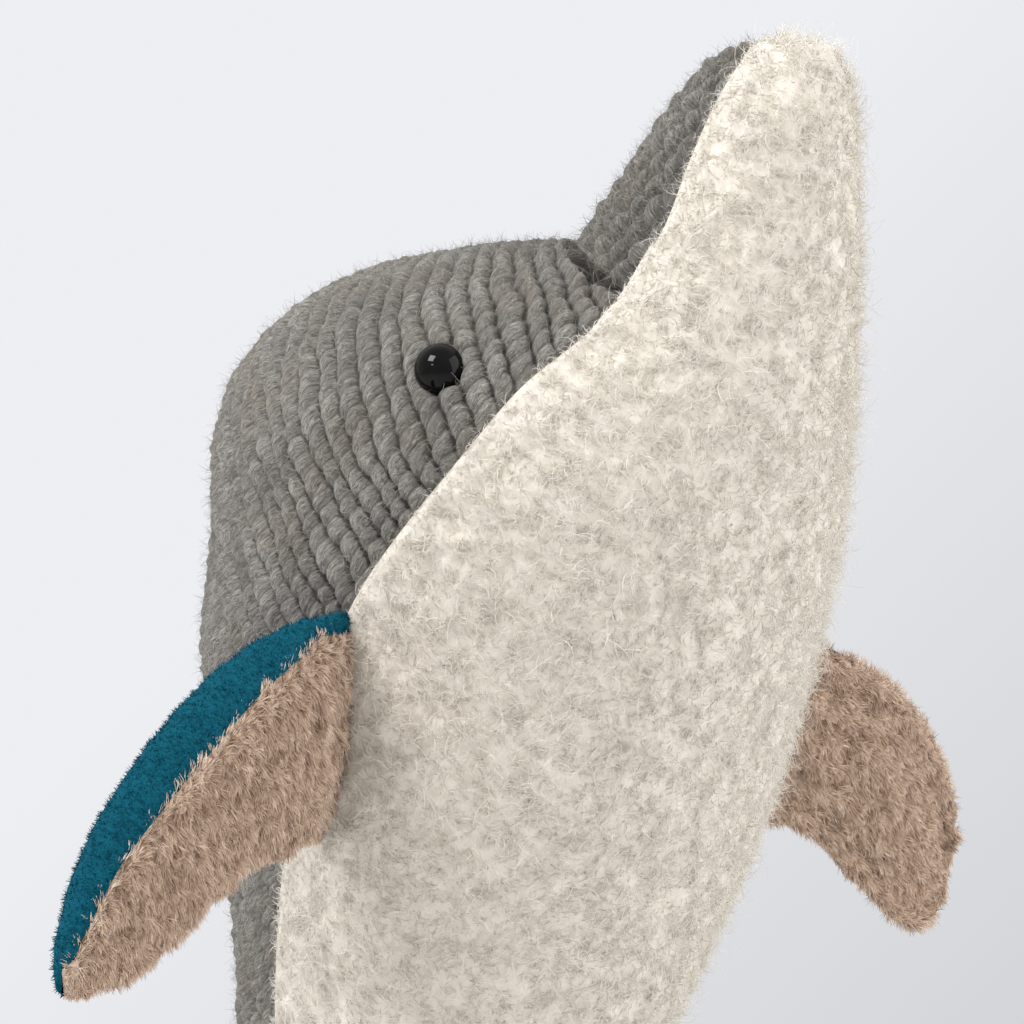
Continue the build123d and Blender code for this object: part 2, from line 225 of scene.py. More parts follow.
class Shell:
    """The outside of some CAD nodes: where it lies, and which node it belongs to."""

    def __init__(self, names):
        corners = []
        faces = []
        self.owner = []
        for name in names:
            mesh = frame["nodes"][name].data
            mesh.calc_loop_triangles()
            triangles = np.empty(len(mesh.loop_triangles) * 3, int)
            mesh.loop_triangles.foreach_get("vertices", triangles)
            faces += (triangles.reshape(-1, 3) + len(corners)).tolist()
            corners += points_of(mesh).tolist()
            self.owner += [name] * (len(triangles) // 3)
        self.tree = BVHTree.FromPolygons(corners, faces)
        self.corners = np.array(corners)[np.array(faces)]

    def outermost(self, middle, direction):
        """The outermost point of the shell from middle in a direction, and its node."""
        direction = Vector(direction).normalized()
        start = Vector(middle) + direction * REACH
        for offset in (0.0, 0.0003, 0.0012):
            place, _, face, _ = self.tree.ray_cast(start + Vector((offset, 0, 0)), -direction)
            if place is not None:
                return np.array(place), self.owner[face]
        return None, None

    def middle(self, point, along):
        """Half way between the shell's two sides on a line through point."""
        far, _ = self.outermost(point, along)
        near, _ = self.outermost(point, [-value for value in along])
        return (far + near) / 2, far - near

    def ring(self, middle, across, along, angles):
        """Outermost points round middle; angle 0 looks against along, 90 degrees across."""
        points = []
        for angle in angles:
            direction = self.turned(across, along, angle)
            reaches = []
            for tilt in (-CRACK, 0.0, CRACK):
                place, _ = self.outermost(middle, self.turned(across, along, angle + tilt))
                if place is not None:
                    reaches.append((place - middle) @ direction)
            points.append(middle + direction * max(reaches))
        return np.array(points)

    def turned(self, across, along, angle):
        """The direction at an angle round a section."""
        return unit(math.sin(angle) * np.array(across) - math.cos(angle) * np.array(along))

    def seam_angle(self, middle, across, along):
        """The angle where the white fabric ends on the +X side of a section."""
        low, high = 0.0, math.pi
        for _ in range(18):
            angle = (low + high) / 2
            place, _ = self.outermost(middle, self.turned(across, along, angle))
            if self.is_white(place):
                low = angle
            else:
                high = angle
        return low

    def is_white(self, place):
        """Whether a place on the skin is white, with the white fabric lapped over the grey a little."""
        if place is None:
            return False
        centre, _ = self.middle((0.0, 0.0, place[2]), (0.0, 1.0, 0.0))
        offset = place - centre
        lap = np.interp(place[2], SEAM_LEVELS, SEAM_SHIFTS) / np.hypot(offset[0], offset[1])
        turn = math.atan2(offset[0], -offset[1]) - lap
        _, owner = self.outermost(centre, (math.sin(turn), -math.cos(turn), 0.0))
        return owner in WHITE_NODES

    def slice_box(self, axis, value):
        """Lowest and highest corner of the shell where it crosses a plane."""
        level = self.corners[..., axis]
        crossing = self.corners[(level.min(axis=1) <= value) & (level.max(axis=1) >= value)]
        found = []
        for first, second in ((0, 1), (1, 2), (2, 0)):
            a, b = crossing[:, first], crossing[:, second]
            gap = b[:, axis] - a[:, axis]
            share = (value - a[:, axis]) / np.where(np.abs(gap) < 1e-9, 1e-9, gap)
            inside = (share >= 0) & (share <= 1)
            found.append((a + (b - a) * share[:, None])[inside])
        found = np.concatenate(found)
        return found.min(axis=0), found.max(axis=0)


def refine(grid, count, axis):
    """Resamples a grid of points along one axis with a smooth curve through them."""
    grid = np.moveaxis(grid, axis, 0)
    last = len(grid) - 1
    where = np.linspace(0, last, count)
    index = np.minimum(where.astype(int), last - 1)
    t = (where - index).reshape(-1, 1, 1)
    ends = np.concatenate([2 * grid[:1] - grid[1:2], grid, 2 * grid[-1:] - grid[-2:-1]])
    before, start, end, after = (ends[index + step] for step in range(4))
    curve = (
        2 * start
        + (end - before) * t
        + (2 * before - 5 * start + 4 * end - after) * t ** 2
        + (3 * start - before - 3 * end + after) * t ** 3
    ) / 2
    return np.moveaxis(curve, 0, axis)


def heal(grid, mask, rounds=300):
    """Bridges the masked points of a grid smoothly from their neighbours."""
    grid = grid.copy()
    for _ in range(rounds):
        spread = grid.copy()
        spread[1:-1] = (grid[:-2] + grid[2:]) / 2
        sideways = spread.copy()
        sideways[:, 1:-1] = (grid[:, :-2] + grid[:, 2:]) / 2
        grid[mask] = ((spread + sideways) / 2)[mask]
    return grid


def relax(grid, rounds):
    """Smooths a grid along its stations, leaving its first and last stations alone."""
    grid = grid.copy()
    for _ in range(rounds):
        grid[1:-1] = (grid[:-2] + 2 * grid[1:-1] + grid[2:]) / 4
    return grid


def normals_of(grid):
    """Unit normals of a grid of points."""
    return unit(np.cross(np.gradient(grid, axis=1), np.gradient(grid, axis=0)))


def distances(grid, axis):
    """Distance along an axis of a grid from its first row of points."""
    steps = np.linalg.norm(np.diff(grid, axis=axis), axis=-1)
    return np.concatenate([np.zeros_like(np.take(steps, [0], axis)), np.cumsum(steps, axis=axis)], axis)


def distances_back(grid, axis):
    """Distance along an axis of a grid from its last row of points."""
    return np.flip(distances(np.flip(grid, axis), axis), axis)


def from_edges(grid):
    """Distance across a grid from the nearer of its two long edges."""
    return np.minimum(distances(grid, 1), distances_back(grid, 1))


def finer(grid, spacing):
    """A grid resampled both ways, with its points about a spacing apart."""
    rows = round(distances(grid, 0)[-1].max() / spacing)
    columns = round(distances(grid, 1)[:, -1].max() / spacing)
    return refine(refine(grid, rows, 0), columns, 1)


def framed(values, rows, columns):
    """A grid of values with its edges repeated (before, after) along its rows and columns."""
    return np.pad(values, (rows, columns) + ((0, 0),) * (values.ndim - 2), mode="edge")


# ---- making meshes -----------------------------------------------------------------
def make_mesh(name, points, faces, materials, slots=None, values=None):
    """A mesh object from arrays. faces is a list of arrays, one for each number of corners."""
    mesh = bpy.data.meshes.new(name)
    corners = np.concatenate([group.ravel() for group in faces])
    sizes = np.concatenate([np.full(len(group), group.shape[1]) for group in faces])
    starts = np.concatenate([[0], np.cumsum(sizes)[:-1]])
    mesh.vertices.add(points.size // 3)
    mesh.vertices.foreach_set("co", np.ascontiguousarray(points, np.float32).ravel())
    mesh.loops.add(len(corners))
    mesh.loops.foreach_set("vertex_index", corners.astype(np.int32))
    mesh.polygons.add(len(sizes))
    mesh.polygons.foreach_set("loop_start", starts.astype(np.int32))
    mesh.polygons.foreach_set("use_smooth", np.full(len(sizes), True))
    if slots is not None:
        mesh.polygons.foreach_set("material_index", slots.astype(np.int32))
    for key, value in (values or {}).items():
        attribute = mesh.attributes.new(key, "FLOAT", "POINT")
        attribute.data.foreach_set("value", np.ascontiguousarray(value, np.float32).ravel())
    mesh.update(calc_edges=True)
    mesh.validate()
    for material in materials:
        mesh.materials.append(material)
    piece = bpy.data.objects.new(name, mesh)
    bpy.context.scene.collection.objects.link(piece)
    return piece


def make_skin(name, grid, flip, material, node_names, follow, values=None):
    """Makes a skin's piece, hides the CAD nodes it replaces and hands it to follow; its faces are turned over
    where flip is above 0.
    """
    index = np.arange(grid.shape[0] * grid.shape[1]).reshape(grid.shape[:2])
    corners = [index[:-1, :-1], index[:-1, 1:], index[1:, 1:], index[1:, :-1]]
    faces = np.stack(corners, axis=-1).reshape(-1, 4)
    if flip > 0:
        faces = faces[:, ::-1]
    piece = make_mesh(name, grid, [faces], [material], values=values)
    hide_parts(*node_names)
    follow(piece)


def scatter(grid, normals, count, rng, weight=None):
    """Random places on a grid, with the normal and the two directions of the grid there."""
    across = np.gradient(grid, axis=1)
    along = np.gradient(grid, axis=0)
    area = np.linalg.norm(np.cross(across, along), axis=-1)[:-1, :-1]
    if weight is not None:
        area = area * weight[:-1, :-1]
    share = np.cumsum(area.ravel())
    cell = np.searchsorted(share, rng.uniform(0, share[-1], count))
    row, column = np.unravel_index(np.minimum(cell, area.size - 1), area.shape)
    s, t = rng.uniform(0, 1, (2, count, 1))

    def at(values):
        low = values[row, column] * (1 - t) + values[row, column + 1] * t
        high = values[row + 1, column] * (1 - t) + values[row + 1, column + 1] * t
        return low * (1 - s) + high * s

    return {
        "place": at(grid),
        "normal": unit(at(normals)),
        "along": unit(at(along)),
        "across": unit(at(across)),
        "row": row,
        "column": column,
    }


def strand_mesh(name, segments, materials, roots, starts, axes, turns, lengths, widths, shades):
    """Tapered closed tubes that leave roots along starts and curl about axes by turns."""
    count = len(roots)
    starts = unit(starts)
    axes = unit(axes - starts * np.sum(axes * starts, axis=1, keepdims=True))
    sides = np.cross(axes, starts)
    steps = np.arange(segments + 1) / segments
    middle_angles = turns[:, None] * (np.arange(segments) + 0.5) / segments
    moves = (
        starts[:, None] * np.cos(middle_angles)[..., None]
        + sides[:, None] * np.sin(middle_angles)[..., None]
        + axes[:, None] * CURL_CLIMB
    ) * (lengths / segments)[:, None, None]
    path = np.concatenate([roots[:, None], roots[:, None] + np.cumsum(moves, axis=1)], axis=1)
    angles = turns[:, None] * steps
    outward = sides[:, None] * np.cos(angles)[..., None] - starts[:, None] * np.sin(angles)[..., None]
    radius = widths[:, None] / 2 * (1 - STRAND_TAPER * steps ** 1.6)
    rings = []
    for corner in range(3):
        turn = 2 * math.pi * corner / 3
        spoke = axes[:, None] * math.cos(turn) + outward * math.sin(turn)
        rings.append(path + spoke * radius[..., None])
    points = np.stack(rings, axis=2).reshape(-1, 3)
    first = (np.arange(count) * (segments + 1) * 3)[:, None]
    quads = []
    for step in range(segments):
        for corner in range(3):
            after = (corner + 1) % 3
            low, high = 3 * step, 3 * step + 3
            quads.append(first + np.array([low + corner, low + after, high + after, high + corner]))
    quads = np.stack(quads, axis=1).reshape(-1, 4)
    last = 3 * segments
    ends = np.stack([first + np.array([2, 1, 0]), first + np.array([last, last + 1, last + 2])], axis=1)
    slots = np.concatenate([np.repeat(shades, 3 * segments), np.repeat(shades, 2)])
    return make_mesh(name, points, [quads, ends.reshape(-1, 3)], materials, slots)


def fibres(
    name, spots, starts, axes, turns, lengths, widths, segments, materials, shades, follow,
    sink=ROOT_SINK,
):
    """Strands rooted just below the surface, in pieces that each stay under the most triangles."""
    roots = spots["place"] - spots["normal"] * sink
    strands = (roots, starts, axes, turns, lengths, widths, shades)
    each = STRAND_PIECE // (6 * segments + 2)
    for number, first in enumerate(range(0, len(roots), each)):
        part = [values[first:first + each] for values in strands]
        piece = strand_mesh(f"{name}_{number + 1:02d}", segments, materials, *part)
        follow(piece)


# ---- materials ---------------------------------------------------------------------
class Nodes:
    """A small helper that builds a node tree."""

    def __init__(self, tree):
        self.tree = tree

    def put(self, socket, value):
        """Links a socket to a node's output, or sets it to a value."""
        if isinstance(value, bpy.types.NodeSocket):
            self.tree.links.new(value, socket)
        else:
            socket.default_value = value

    def node(self, kind, entries=(), output=0, **settings):
        """Adds a node, fills its first sockets, or the named ones, and gives one of its outputs."""
        node = self.tree.nodes.new("ShaderNode" + kind)
        for key, value in settings.items():
            setattr(node, key, value)
        for socket, value in entries.items() if isinstance(entries, dict) else enumerate(entries):
            self.put(node.inputs[socket], value)
        return node.outputs[output]

    def math(self, operation, first, second=0.0, third=0.0):
        return self.node("Math", (first, second, third), operation=operation)

    def add(self, first, second):
        return self.math("ADD", first, second)

    def times(self, first, second):
        return self.math("MULTIPLY", first, second)

    def vector(self, *parts):
        return self.node("CombineXYZ", parts)

    def place(self):
        return self.node("TexCoord", output="Object")

    def noise(self, where, scale, detail=2.0, roughness=0.55, distortion=0.0):
        entries = {"Vector": where, "Scale": scale, "Detail": detail, "Roughness": roughness}
        return self.node("TexNoise", entries | {"Distortion": distortion}, "Fac")

    def ramp(self, value, low, high, shape="SMOOTHSTEP"):
        """value stretched so that low becomes 0 and high becomes 1."""
        return self.node("MapRange", (value, low, high, 0.0, 1.0), "Result", interpolation_type=shape)

    def mix(self, share, first, second):
        return self.node("Mix", {"Factor": share, "A": first, "B": second}, "Result", data_type="RGBA")


class Paint(Nodes):
    """One material with a Principled shader."""

    def __init__(self, name, roughness=0.9, sheen=0.0, tint=(1, 1, 1), specular=0.25):
        self.material = bpy.data.materials.new(name)
        self.material.use_nodes = True
        super().__init__(self.material.node_tree)
        self.shader = self.tree.nodes["Principled BSDF"]
        for socket, value in (
            ("Roughness", roughness),
            ("Specular IOR Level", specular),
            ("Sheen Weight", sheen),
            ("Sheen Roughness", 0.45),
            ("Sheen Tint", (*tint, 1)),
        ):
            self.shader.inputs[socket].default_value = value

    def attribute(self, name):
        return self.node("Attribute", output="Fac", attribute_name=name)

    def colour(self, value):
        self.put(self.shader.inputs["Base Color"], value)

    def bump(self, height, distance, strength):
        normal = self.node("Bump", {"Height": height, "Distance": distance, "Strength": strength}, "Normal")
        self.put(self.shader.inputs["Normal"], normal)


def rgb(red, green, blue):
    """A linear colour with full opacity."""
    return (red, green, blue, 1.0)


def knit_material(name, painted_shade_brightness=1.0):
    """Grey wool: twisted lobes in ribs, painted shade darkening the grooves between, fine slanting fibres."""
    paint = Paint(name, roughness=0.92, sheen=0.25, tint=(0.95, 0.92, 0.88))
    add, times, noise, ramp, mix = paint.add, paint.times, paint.noise, paint.ramp, paint.mix
    rib = paint.attribute("rib")
    number = paint.math("FLOOR", rib)
    across_rib = paint.math("SUBTRACT", paint.math("FRACT", rib), 0.5)
    shifted = add(paint.attribute("lobe"), times(number, STAGGER))
    slanted = add(shifted, times(across_rib, LOBE_SKEW))
    up_lobe = paint.math("SUBTRACT", paint.math("FRACT", slanted), 0.5)
    waist = times(paint.math("POWER", paint.math("ABSOLUTE", up_lobe), 2.0), 2 * WAIST)
    side_groove = ramp(add(paint.math("ABSOLUTE", across_rib), waist), 0.38, 0.54)
    end_groove = ramp(paint.math("ABSOLUTE", up_lobe), 0.36, 0.5)
    groove = paint.math("MAXIMUM", side_groove, times(end_groove, 0.6))
    across = paint.math("MULTIPLY_ADD", across_rib, 6.0, times(shifted, 13.0))
    along = paint.math("MULTIPLY_ADD", across_rib, 3.2, times(shifted, -1.2))
    strands = noise(paint.vector(across, along, number), 1.0, 4.0, 0.72, 1.1)
    dye = noise(paint.vector(number, paint.math("FLOOR", slanted), 0.5), 0.37, 2.0, 0.8)
    patches = noise(paint.place(), 38.0, 3.0, 0.6)
    wool = mix(ramp(dye, 0.35, 0.65), rgb(0.25, 0.24, 0.222), rgb(0.42, 0.405, 0.373))
    warm = mix(ramp(patches, 0.45, 0.70), wool, rgb(0.32, 0.285, 0.24))
    streaked = mix(ramp(strands, 0.36, 0.60), rgb(0.125, 0.116, 0.104), warm)
    bright = mix(ramp(strands, 0.56, 0.74), streaked, rgb(0.60, 0.57, 0.52))
    # painted shade: the grooves between ribs and between lobes are darkened towards near black in the colour
    wool_with_painted_groove_shade = mix(times(groove, 0.78), bright, rgb(0.06, 0.052, 0.045))
    # painted shade: the whole colour is darkened towards black by the given brightness, which makes a shaded
    # copy of the wool
    paint.colour(mix(1 - painted_shade_brightness, wool_with_painted_groove_shade, rgb(0.0, 0.0, 0.0)))
    paint.bump(paint.math("SUBTRACT", strands, times(groove, 0.8)), 0.0011, 0.9)
    return paint.material


def pile_material(name, light, dark, size, depth):
    """The backing of a pile: mottled, with painted shade darkening its small hollows."""
    paint = Paint(name, roughness=0.95, sheen=0.3)
    where = paint.place()
    mottle = paint.noise(where, 1 / size, 3.0, 0.6, 0.4)
    fine = paint.noise(where, 4.5 / size, 3.0, 0.65)
    tone = paint.math("MULTIPLY_ADD", fine, 0.4, paint.times(mottle, 0.6))
    # painted shade: the tone that sets the bump also sets the colour, so the low hollows are the darker ones
    paint.colour(paint.mix(paint.ramp(tone, 0.36, 0.62), dark, light))
    paint.bump(tone, depth, 0.8)
    return paint.material


def velvet_material(name):
    """Teal velvet: short pile brushed in patches, painted lighter and darker where the patches catch the
    light differently.
    """
    paint = Paint(name, roughness=0.9, sheen=0.22, tint=(0.1, 0.55, 0.75), specular=0.04)
    where = paint.place()
    brushed = paint.noise(where, 420.0, 3.0, 0.6, 0.5)
    sweep = paint.noise(where, 60.0, 2.0, 0.5)
    fine = paint.noise(where, 1500.0, 2.0, 0.6)
    tone = paint.math("MULTIPLY_ADD", sweep, 0.3, paint.times(brushed, 0.7))
    # painted light and shade: the brushed patches are mixed between a darker and a lighter teal in the colour
    base = paint.mix(paint.ramp(tone, 0.36, 0.62), rgb(0.0015, 0.034, 0.056), rgb(0.004, 0.074, 0.115))
    paint.colour(paint.mix(paint.ramp(fine, 0.35, 0.75), base, rgb(0.006, 0.098, 0.148)))
    paint.bump(paint.add(brushed, paint.times(fine, 0.5)), 0.0009, 0.8)
    return paint.material


def plain_materials(name, colours, specular=0.25):
    """One plain material for each shade of a fibre."""
    result = []
    for number, colour in enumerate(colours):
        paint = Paint(f"{name}_{number + 1}", roughness=0.85, specular=specular)
        paint.colour(rgb(*colour))
        result.append(paint.material)
    return result


def eye_material():
    """Black glass-like plastic with faint brown depth."""
    paint = Paint("eye_black", roughness=0.06, specular=0.18)
    depth = paint.ramp(paint.noise(paint.place(), 160.0, 2.0), 0.4, 0.7)
    paint.colour(paint.mix(depth, rgb(0.0015, 0.0015, 0.0017), rgb(0.004, 0.0035, 0.0032)))
    return paint.material


KNIT = knit_material("grey_knit_wool")
# painted shade: the beak's knit is a darker, shaded copy of the grey knit
SHADED_BEAK_KNIT = knit_material("grey_knit_beak_wool_shaded", 0.80)
WHITE_BACKING = pile_material("cream_backing", rgb(0.82, 0.77, 0.695), rgb(0.745, 0.69, 0.60), 0.005, 0.0004)
TAN_BACKING = pile_material("tan_backing", rgb(0.62, 0.48, 0.38), rgb(0.42, 0.305, 0.23), 0.003, 0.001)
VELVET = velvet_material("teal_velvet_pile")
EYE = eye_material()
CREAM = plain_materials(
    "cream_fibre",
    [(0.825, 0.78, 0.705), (0.805, 0.76, 0.68), (0.84, 0.80, 0.73), (0.785, 0.735, 0.655)],
)
BRIGHT_CREAM = plain_materials("bright_fibre", [(0.91, 0.88, 0.825), (0.89, 0.855, 0.795)])
WOOL = plain_materials(
    "wool_fibre",
    [(0.36, 0.345, 0.315), (0.19, 0.18, 0.163), (0.56, 0.54, 0.50), (0.30, 0.27, 0.23)],
)
TAN = plain_materials(
    "tan_fibre",
    [(0.69, 0.525, 0.405), (0.54, 0.39, 0.29), (0.86, 0.70, 0.56), (0.33, 0.225, 0.16)],
)
TEAL = plain_materials(
    "teal_fibre",
    [(0.003, 0.074, 0.115), (0.0015, 0.048, 0.078), (0.006, 0.110, 0.160)],
    specular=0.04,
)


# ---- body skins --------------------------------------------------------------------
skin_shell = Shell(WHITE_NODES + BACK_NODES + (BROW_NODE, "eye_left", "eye_right"))
tail_joint = joint_point("tail_bend")
skins = {}  # the finished grids of the body's skins, where their fibres grow


def riding(body):
    """A way for pieces to move with one body."""
    return lambda piece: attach(piece, body)


def bending():
    """For pieces that lie between the trunk and another body: only bakes each piece's placement into its
    points.
    """
    return lambda piece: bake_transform(piece)


follow_tail = bending(
)


def eye_centre():
    """Where the left eye sits in the skin."""
    places = points_of(frame["nodes"]["eye_left"].data)
    out = np.array([1.0, 0.0, 0.0])
    for _ in range(12):
        depth = places @ out
        shank = places[depth < depth.min() + 0.0005].mean(axis=0)
        dome = places[depth > depth.max() - EYE_STAND].mean(axis=0)
        out = unit(dome - shank)
    return shank + out * (depth.max() - depth.min() - EYE_STAND)


def level_stations(levels):
    """Level sections of the body: (point, along, sideways) for each height."""
    return [((0.0, 0.0, level), LEVEL, SIDEWAYS) for level in levels]


def tail_levels():
    """Heights of the level sections, from the tail's end to the head."""
    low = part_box("tail_belly_panel")[0][2] + TAIL_CUT
    return np.append(np.arange(low, HEAD_LEVEL, COARSE), HEAD_LEVEL)


def in_groove(level):
    """Whether the tail joint's groove disturbs the skin at a height."""
    return abs(level - tail_joint[2]) < TAIL_GROOVE


def fan(pivot):
    """Directions of planes that turn about a pivot to the brow, evenly spaced along the centre line."""
    turns = np.linspace(0.0, math.atan(BROW_SLOPE), 90)
    trail = [skin_shell.outermost((0, *pivot), (0.0, math.cos(turn), math.sin(turn)))[0] for turn in turns]
    travelled = np.concatenate([[0], np.cumsum(np.linalg.norm(np.diff(trail, axis=0), axis=1))])
    count = round(travelled[-1] / COARSE) + 1
    even = np.interp(np.linspace(0, travelled[-1], count), travelled, turns)
    return [(0.0, math.cos(turn), math.sin(turn)) for turn in even]


def brow_sideways(share):
    """The sideways direction of a section, which leans near the brow crease."""
    return tuple(unit(np.array([1.0, -BROW_LEAN * share ** 2, 0.0])))


def back_stations():
    """Sections of the grey back, from the tail up and over the head to the brow."""
    stations = level_stations(tail_levels())
    pivot = (BROW_FOOT[0] - (BROW_FOOT[1] - HEAD_LEVEL) / BROW_SLOPE, HEAD_LEVEL)
    directions = fan(pivot)
    for number, along in enumerate(directions[1:], 1):
        stations.append(((0.0, *pivot), along, brow_sideways(number / (len(directions) - 1))))
    return stations


def beak_stations():
    """Sections of the grey strip on the beak, from the brow crease to the tip."""
    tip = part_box("belly_panel")[1][2] - TIP_FIBRES - TIP_CAP
    pivot = (BROW_TOP[0] + (tip - BROW_TOP[1]) / BROW_SLOPE, tip)
    turns = np.linspace(math.atan(BROW_SLOPE), 0.0, 20)
    return [
        ((0.0, *pivot), (0.0, math.cos(turn), math.sin(turn)), brow_sideways(1 - number / (len(turns) - 1)))
        for number, turn in enumerate(turns)
    ]


def steady(values, reach=2):
    """Values with stray ones replaced by the median of their neighbours, then smoothed."""
    padded = np.pad(values, reach, mode="edge")
    windows = np.lib.stride_tricks.sliding_window_view(padded, 2 * reach + 1)
    middles = np.median(windows, axis=1)
    padded = np.pad(middles, 1, mode="edge")
    return (padded[:-2] + 2 * padded[1:-1] + padded[2:]) / 4


def half_skin(stations, white, columns):
    """Probed points of one half (+X) of the white or the grey, station by station."""
    known = [number for number, station in enumerate(stations) if not in_groove(station[0][2])]
    middles = [skin_shell.middle(*stations[number][:2])[0] for number in known]
    seams = steady(np.array([
        skin_shell.seam_angle(middle, stations[number][2], stations[number][1])
        for number, middle in zip(known, middles)
    ]))
    rows = [None] * len(stations)
    for number, middle, seam in zip(known, middles, seams):
        _, along, sideways = stations[number]
        angles = np.linspace(0, seam, columns) if white else np.linspace(seam, math.pi, columns)
        rows[number] = skin_shell.ring(middle, sideways, along, angles)
    grid = np.array([between(rows, number, known) if row is None else row for number, row in enumerate(rows)])
    grid[:, 0 if white else -1, 0] = 0.0
    return grid


def between(rows, number, known):
    """A row in the tail joint's groove, filled in from the rows on its two sides."""
    before = max(index for index in known if index < number)
    after = min(index for index in known if index > number)
    share = (number - before) / (after - before)
    return rows[before] * (1 - share) + rows[after] * share


def mend(grid):
    """Bridges the eye's hole in a probed grid."""
    mask = np.linalg.norm(grid - EYE_PLACE, axis=-1) < EYE_REACH
    mask[0] = False
    mask[-1] = False
    return heal(grid, mask)


def tail_end(grid):
    """Adds the rounded end of the tail below the first station of a skin."""
    fold = joint_point("fluke_fold")
    middle = np.array([0.0, fold[1], 0.0])
    offset = grid[0] - middle
    offset[:, 2] = 0
    width = np.linalg.norm(offset, axis=1, keepdims=True)
    directions = offset / width
    rows = []
    for turn in np.linspace(math.pi / 2, 0.06, 7)[::-1]:
        ring = middle + directions * TAIL_END_RADIUS * math.sin(turn)
        ring[:, 2] = fold[2] - TAIL_END_RADIUS * math.cos(turn)
        rows.append(ring)
    for share in (0.3, 0.65):
        ring = middle + directions * (TAIL_END_RADIUS * (1 - share ** 1.5) + width * share ** 1.5)
        ring[:, 2] = fold[2] + (grid[0, 0, 2] - fold[2]) * share
        rows.append(ring)
    return np.concatenate([np.array(rows), grid])


def section_table():
    """Level, middle and half depth of the body's level sections."""
    rows = []
    for level in tail_levels():
        if not in_groove(level):
            middle, span = skin_shell.middle((0, 0, level), LEVEL)
            rows.append((level, middle[1], np.linalg.norm(span) / 2))
    return np.array(rows)


SECTIONS = section_table()
EYE_PLACE = eye_centre()


def knit_coordinates(points):
    """Distances round and up the body, along which the knit's ribs are laid out."""
    level = points[..., 2]
    depth = np.interp(level, SECTIONS[:, 0], SECTIONS[:, 1])
    radius = np.interp(level, SECTIONS[:, 0], SECTIONS[:, 2])
    side = np.abs(points[..., 0])
    around = radius * np.arctan2(points[..., 1] - depth, side)
    up = level.copy()
    head = np.array([0.0, SECTIONS[-1, 1], HEAD_LEVEL])
    offset = points - head
    length = np.linalg.norm(offset, axis=-1)
    turn = np.arccos(np.clip(side / np.maximum(length, 1e-9), -1, 1))
    flat = np.maximum(np.hypot(offset[..., 1], offset[..., 2]), 1e-9)
    over = level > HEAD_LEVEL
    around = np.where(over, SECTIONS[-1, 2] * turn * offset[..., 1] / flat, around)
    up = np.where(over, HEAD_LEVEL + SECTIONS[-1, 2] * turn * offset[..., 2] / flat, up)
    return around, up


def rib_height(rib, lobe, rib_top, lobe_top):
    """Height of the knit at rib and lobe coordinates."""
    number = np.floor(rib)
    p = np.abs(rib - number - 0.5) * 2
    shifted = lobe + STAGGER * number + LOBE_SKEW * (rib - number - 0.5)
    q = np.abs(shifted - np.floor(shifted) - 0.5) * 2
    bulge = np.clip(1 - (p / (1 - WAIST * q ** 2)) ** 2.4, -0.4, 1)
    scrambled = np.abs(np.sin(number * 12.9898 + np.floor(shifted) * 78.233)) * 437.58
    plump = 0.85 + 0.3 * np.modf(scrambled)[0]  # each lobe has its own fullness
    return rib_top * bulge + lobe_top * (1 - q ** 2.4) * bulge * plump


def flange(grid, normals):
    """The turned-in edge of a grey skin, which runs on under the white fabric past the seam."""
    sideways = unit(grid[:, 0] - grid[:, 2])
    return grid[:, 0] + sideways * FLANGE_WIDTH - normals[:, 0] * FLANGE_DEPTH


def tucked_row(points, normals, last, before):
    """A row that carries a skin on past its end and down under its neighbour."""
    onwards = unit(points[last] - points[before])
    return points[last] + onwards * TUCK_REACH - normals[last] * TUCK_DEPTH


def knit_skin(grid, rib, lobe):
    """The knitted skin on the +X side over a fine grid, seam side first in its columns."""
    normals = normals_of(grid)
    height = rib_height(rib, lobe, RIB_HEIGHT, LOBE_HEIGHT)
    height += 0.0004 * lumps(grid, 0.018, 3) + 0.00025 * lumps(grid, 0.004, 4)
    rise = KNIT_TOP - RIB_HEIGHT - LOBE_HEIGHT + height
    edge = smooth_step(distances(grid, 1), 0.0, SEAM_EDGE)
    rise = rise * edge - SEAM_DIP * (1 - edge)
    rise = rise - BROW_FOLD * (1 - smooth_step(distances_back(grid, 0), 0, BROW_WIDTH))
    offset = grid - EYE_PLACE
    from_eye = np.linalg.norm(offset, axis=-1)
    rise = rise - EYE_DENT * np.exp(-(from_eye / EYE_DENT_REACH) ** 6)
    facing = np.clip(unit(offset) @ unit(np.array(EYE_LIP_SIDE)), 0, 1)
    rise = rise + EYE_LIP * facing * np.exp(-((from_eye - EYE_LIP_PLACE) / EYE_LIP_WIDTH) ** 2)
    final = np.concatenate([flange(grid, normals)[:, None], grid + normals * rise[..., None]], axis=1)
    tuck = tucked_row(final, framed(normals, (0, 0), (1, 0)), -1, -4)
    return np.concatenate([final, tuck[None]])


